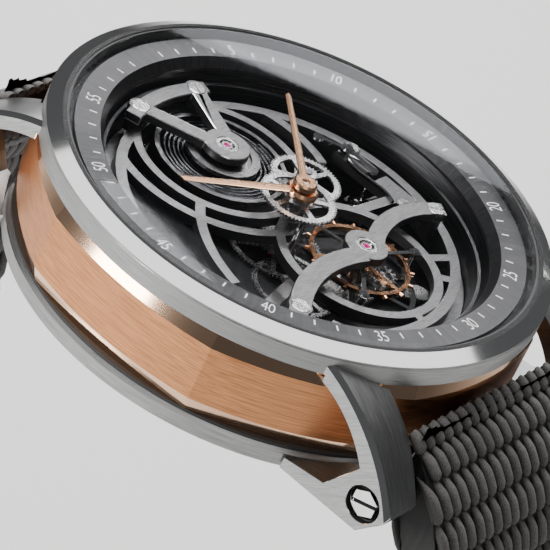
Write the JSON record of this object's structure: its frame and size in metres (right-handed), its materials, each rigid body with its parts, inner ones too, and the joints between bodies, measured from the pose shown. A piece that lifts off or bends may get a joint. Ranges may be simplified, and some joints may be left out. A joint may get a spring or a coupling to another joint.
{
  "type": "wristwatch",
  "caption": "Skeleton wristwatch with an eight-sided mid-case, hollow lugs, a tourbillon seen from the front, and a woven textile strap with a pin buckle.",
  "frame": {"origin": "centre of the case-back's outer face, which rests on the wrist", "axes": "+Z out of the dial towards the wearer's eye, +Y towards 12 o'clock, +X towards the crown at 3 o'clock"},
  "size_m": [0.0447, 0.061, 0.1195],
  "materials": {
    "pink_gold_case": "brushed flanks, polished bevels",
    "white_gold": "brushed and polished white gold",
    "white_gold_lug": "brushed with polished bevels",
    "steel_screw": "polished",
    "sapphire": "polished, anti-reflective",
    "gasket": "matte",
    "minute_ring": "satin anthracite with white print",
    "inner_wall": "satin black",
    "dark_steel": "matte",
    "case_back": "circular brushed",
    "plate_grey": "satin with polished bevels",
    "plate_dark": "black rhodium",
    "bridge_grey": "satin with polished bevels",
    "ruby": "polished",
    "wheel_steel": "circular grained",
    "hand_gold": "polished pink gold",
    "balance_gold": "polished pink gold",
    "barrel_steel": "snailed",
    "spring_steel": "polished blade",
    "keyless_steel": "polished",
    "textile": "coarse rope-like weave",
    "buckle_gold": "polished pink gold",
    "keeper_textile": "woven textile"
  },
  "bodies": {
    "case": {"mid_case": "pink_gold_case", "bezel": "white_gold", "lug_1": "white_gold_lug", "lug_5": "white_gold_lug", "lug_7": "white_gold_lug", "lug_11": "white_gold_lug", "lug_screws": "steel_screw", "strap_bars": "steel_screw", "crystal": "sapphire", "crystal_gasket": "gasket", "minute_ring": "minute_ring", "inner_wall": "inner_wall", "casing_ring": "dark_steel", "case_back": "case_back", "back_crystal": "sapphire", "back_gasket": "gasket", "back_screws": "steel_screw", "crown_tube": "steel_screw", "mainplate": "plate_grey", "lower_plate": "plate_dark", "train_bridge": "bridge_grey", "barrel_bridge": "bridge_grey", "tourbillon_bridge": "bridge_grey", "bridge_screws": "steel_screw", "jewels": "ruby", "chatons": "steel_screw", "fixed_wheel": "wheel_steel", "keyless_spring": "keyless_steel"},
    "minute_hand": {"minute_hand": "hand_gold", "cannon_pinion": "wheel_steel"},
    "hour_hand": {"hour_hand": "hand_gold", "hour_wheel": "wheel_steel"},
    "minute_wheel": {"minute_wheel": "wheel_steel"},
    "centre_wheel": {"centre_wheel": "wheel_steel"},
    "third_wheel": {"third_wheel": "wheel_steel"},
    "barrel": {"barrel_drum": "barrel_steel", "mainspring": "spring_steel"},
    "barrel_arbor": {"barrel_arbor": "barrel_steel", "ratchet_wheel": "wheel_steel"},
    "transmission_wheel": {"transmission_wheel": "wheel_steel"},
    "crown_wheel": {"crown_wheel": "wheel_steel"},
    "click": {"click": "keyless_steel"},
    "cage": {"cage_base": "keyless_steel", "cage_bridge": "keyless_steel"},
    "balance": {"balance_wheel": "balance_gold", "hairspring": "spring_steel"},
    "escape_wheel": {"escape_wheel": "wheel_steel"},
    "pallet_fork": {"pallet_fork": "keyless_steel"},
    "crown_gasket": {"crown_gasket": "gasket"},
    "crown": {"crown": "pink_gold_case", "stem": "wheel_steel"},
    "winding_pinion": {"winding_pinion": "wheel_steel"},
    "setting_lever": {"setting_lever": "keyless_steel"},
    "strap_12": {"strap_12": "textile", "keeper_fixed": "keeper_textile"},
    "keeper_free": {"keeper_free": "keeper_textile"},
    "buckle_frame": {"buckle_frame": "buckle_gold", "buckle_bar": "steel_screw"},
    "buckle_tongue": {"buckle_tongue": "buckle_gold"},
    "strap_6": {"strap_6": "textile"}
  },
  "joints": [
    {"name": "minute_spin", "type": "hinge", "parent": "case", "child": "minute_hand", "pos_m": [0, 0, 0.01], "axis": [0, 0, 1], "continuous": true},
    {"name": "hour_spin", "type": "hinge", "parent": "case", "child": "hour_hand", "pos_m": [0, 0, 0.0096], "axis": [0, 0, 1], "continuous": true},
    {"name": "minute_wheel_spin", "type": "hinge", "parent": "case", "child": "minute_wheel", "pos_m": [0.00337, 0.00175, 0.0092], "axis": [0, 0, 1], "continuous": true},
    {"name": "cage_spin", "type": "hinge", "parent": "case", "child": "cage", "pos_m": [0.0015, -0.0061, 0.0058], "axis": [0, 0, 1], "continuous": true},
    {"name": "third_spin", "type": "hinge", "parent": "case", "child": "third_wheel", "pos_m": [-0.00221, -0.00392, 0.0045], "axis": [0, 0, 1], "continuous": true},
    {"name": "centre_spin", "type": "hinge", "parent": "case", "child": "centre_wheel", "pos_m": [0, 0, 0.005], "axis": [0, 0, 1], "continuous": true},
    {"name": "barrel_spin", "type": "hinge", "parent": "case", "child": "barrel", "pos_m": [0.0001, 0.0074, 0.006], "axis": [0, 0, 1], "continuous": true},
    {"name": "escape_spin", "type": "hinge", "parent": "cage", "child": "escape_wheel", "pos_m": [0.0039, -0.00722, 0.006], "axis": [0, 0, 1], "continuous": true},
    {"name": "pallet_rock", "type": "hinge", "parent": "cage", "child": "pallet_fork", "pos_m": [0.00225, -0.00817, 0.006], "axis": [0, 0, 1], "range_deg": [-5, 5]},
    {"name": "balance_swing", "type": "hinge", "parent": "cage", "child": "balance", "pos_m": [0.0015, -0.0061, 0.0075], "axis": [0, 0, 1], "range_deg": [-290, 290], "stiffness_Nm_per_rad": 0.0000002},
    {"name": "crown_pull", "type": "slide", "parent": "case", "child": "crown_gasket", "axis": [1, 0, 0], "range_m": [0, 0.0009]},
    {"name": "crown_spin", "type": "hinge", "parent": "crown_gasket", "child": "crown", "pos_m": [0.022, 0, 0.0049], "axis": [1, 0, 0], "continuous": true},
    {"name": "winding_pinion_spin", "type": "hinge", "parent": "case", "child": "winding_pinion", "pos_m": [0.0101, 0, 0.0049], "axis": [1, 0, 0], "continuous": true},
    {"name": "crown_wheel_spin", "type": "hinge", "parent": "case", "child": "crown_wheel", "pos_m": [0.0071, 0, 0.0032], "axis": [0, 0, 1], "continuous": true},
    {"name": "transmission_spin", "type": "hinge", "parent": "case", "child": "transmission_wheel", "pos_m": [0.0036, 0.0037, 0.0032], "axis": [0, 0, 1], "continuous": true},
    {"name": "ratchet_spin", "type": "hinge", "parent": "case", "child": "barrel_arbor", "pos_m": [0.0001, 0.0074, 0.005], "axis": [0, 0, 1], "continuous": true},
    {"name": "setting_lever_turn", "type": "hinge", "parent": "case", "child": "setting_lever", "pos_m": [0.0115, 0.0034, 0.008], "axis": [0, 0, 1], "range_deg": [0, 18.6]},
    {"name": "click_rock", "type": "hinge", "parent": "case", "child": "click", "pos_m": [-0.0046, 0.0039, 0.0032], "axis": [0, 0, 1], "range_deg": [0, 8]},
    {"name": "strap_12_hinge", "type": "hinge", "parent": "case", "child": "strap_12", "pos_m": [0, 0.02175, 0.00235], "axis": [1, 0, 0], "range_deg": [-10, 8]},
    {"name": "strap_6_hinge", "type": "hinge", "parent": "case", "child": "strap_6", "pos_m": [0, -0.02175, 0.00235], "axis": [1, 0, 0], "range_deg": [-8, 10]},
    {"name": "keeper_slide", "type": "slide", "parent": "strap_12", "child": "keeper_free", "axis": [0, -0.1788, -0.9839], "range_m": [-0.004, 0.004]},
    {"name": "buckle_hinge", "type": "hinge", "parent": "strap_12", "child": "buckle_frame", "pos_m": [0, 0.02051, -0.06879], "axis": [1, 0, 0], "range_deg": [-60, 50]},
    {"name": "tongue_hinge", "type": "hinge", "parent": "buckle_frame", "child": "buckle_tongue", "pos_m": [0, 0.02051, -0.06879], "axis": [1, 0, 0], "range_deg": [0, 60]}
  ],
  "couplings": [
    {"joint": "hour_spin", "follows": "minute_spin", "ratio": 0.083333},
    {"joint": "minute_wheel_spin", "follows": "minute_spin", "ratio": -0.33333},
    {"joint": "third_spin", "follows": "cage_spin", "ratio": -0.26471},
    {"joint": "centre_spin", "follows": "cage_spin", "ratio": 0.040724},
    {"joint": "barrel_spin", "follows": "cage_spin", "ratio": -0.011234},
    {"joint": "escape_spin", "follows": "cage_spin", "ratio": 4.8889},
    {"joint": "winding_pinion_spin", "follows": "crown_spin", "ratio": 1},
    {"joint": "crown_wheel_spin", "follows": "crown_spin", "ratio": 0.41667},
    {"joint": "transmission_spin", "follows": "crown_spin", "ratio": -0.83333},
    {"joint": "ratchet_spin", "follows": "crown_spin", "ratio": 0.41667},
    {"joint": "setting_lever_turn", "follows": "crown_pull", "rad_per_m": 354.88}
  ]
}
